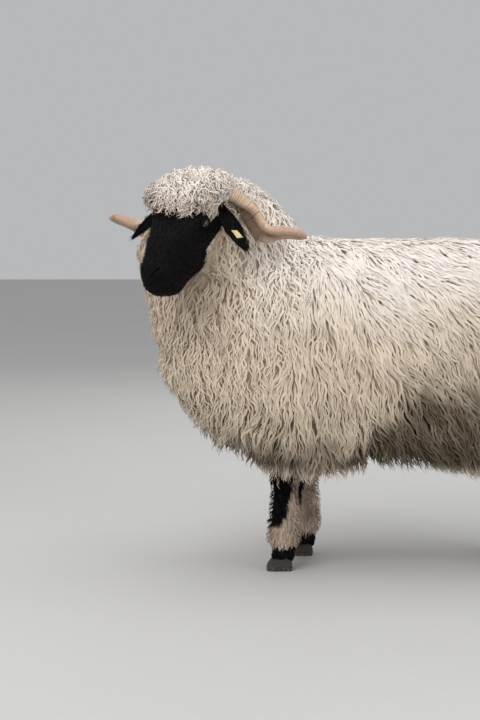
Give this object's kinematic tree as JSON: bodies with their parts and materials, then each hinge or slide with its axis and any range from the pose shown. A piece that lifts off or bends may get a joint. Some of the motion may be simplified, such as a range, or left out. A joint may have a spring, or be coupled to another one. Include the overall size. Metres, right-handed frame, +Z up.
{
  "type": "sheep",
  "caption": "Life-size still model of a standing blacknose sheep in long wavy fleece, with spiral horns, black face, drooping ears and its head turned to its left.",
  "frame": {"origin": "on the floor under the middle of the whole animal, halfway along its length and its width", "axes": "+X towards the tail, so the sheep faces -X; +Y towards its right side; +Z up"},
  "size_m": [1.3198, 0.5659, 1.013],
  "materials": {
    "fleece": "long, wavy, matt wool in creamy white, dingy at the hem",
    "black_hair": "short black hair with a slight sheen",
    "horn": "ringed tan horn, satin",
    "hoof": "dark horn, worn satin",
    "eye": "wet amber-brown eye with a dark oblong pupil",
    "tag": "pale yellow moulded plastic"
  },
  "bodies": {
    "root": {"head": "black_hair", "lower_jaw": "black_hair", "forelock": "fleece", "ear_tag": "tag", "eye_left": "eye", "horn_left": "horn", "ear_left": "black_hair", "eye_right": "eye", "horn_right": "horn", "ear_right": "black_hair", "trunk": "fleece", "neck": "fleece", "tail": "fleece", "foreleg_left": "fleece", "forefoot_left": "black_hair", "foreclaw_left_outer": "hoof", "foreclaw_left_inner": "hoof", "foreleg_right": "fleece", "forefoot_right": "black_hair", "foreclaw_right_outer": "hoof", "foreclaw_right_inner": "hoof", "hindleg_left": "fleece", "hindfoot_left": "black_hair", "hindclaw_left_outer": "hoof", "hindclaw_left_inner": "hoof", "hindleg_right": "fleece", "hindfoot_right": "black_hair", "hindclaw_right_outer": "hoof", "hindclaw_right_inner": "hoof"}
  },
  "joints": []
}
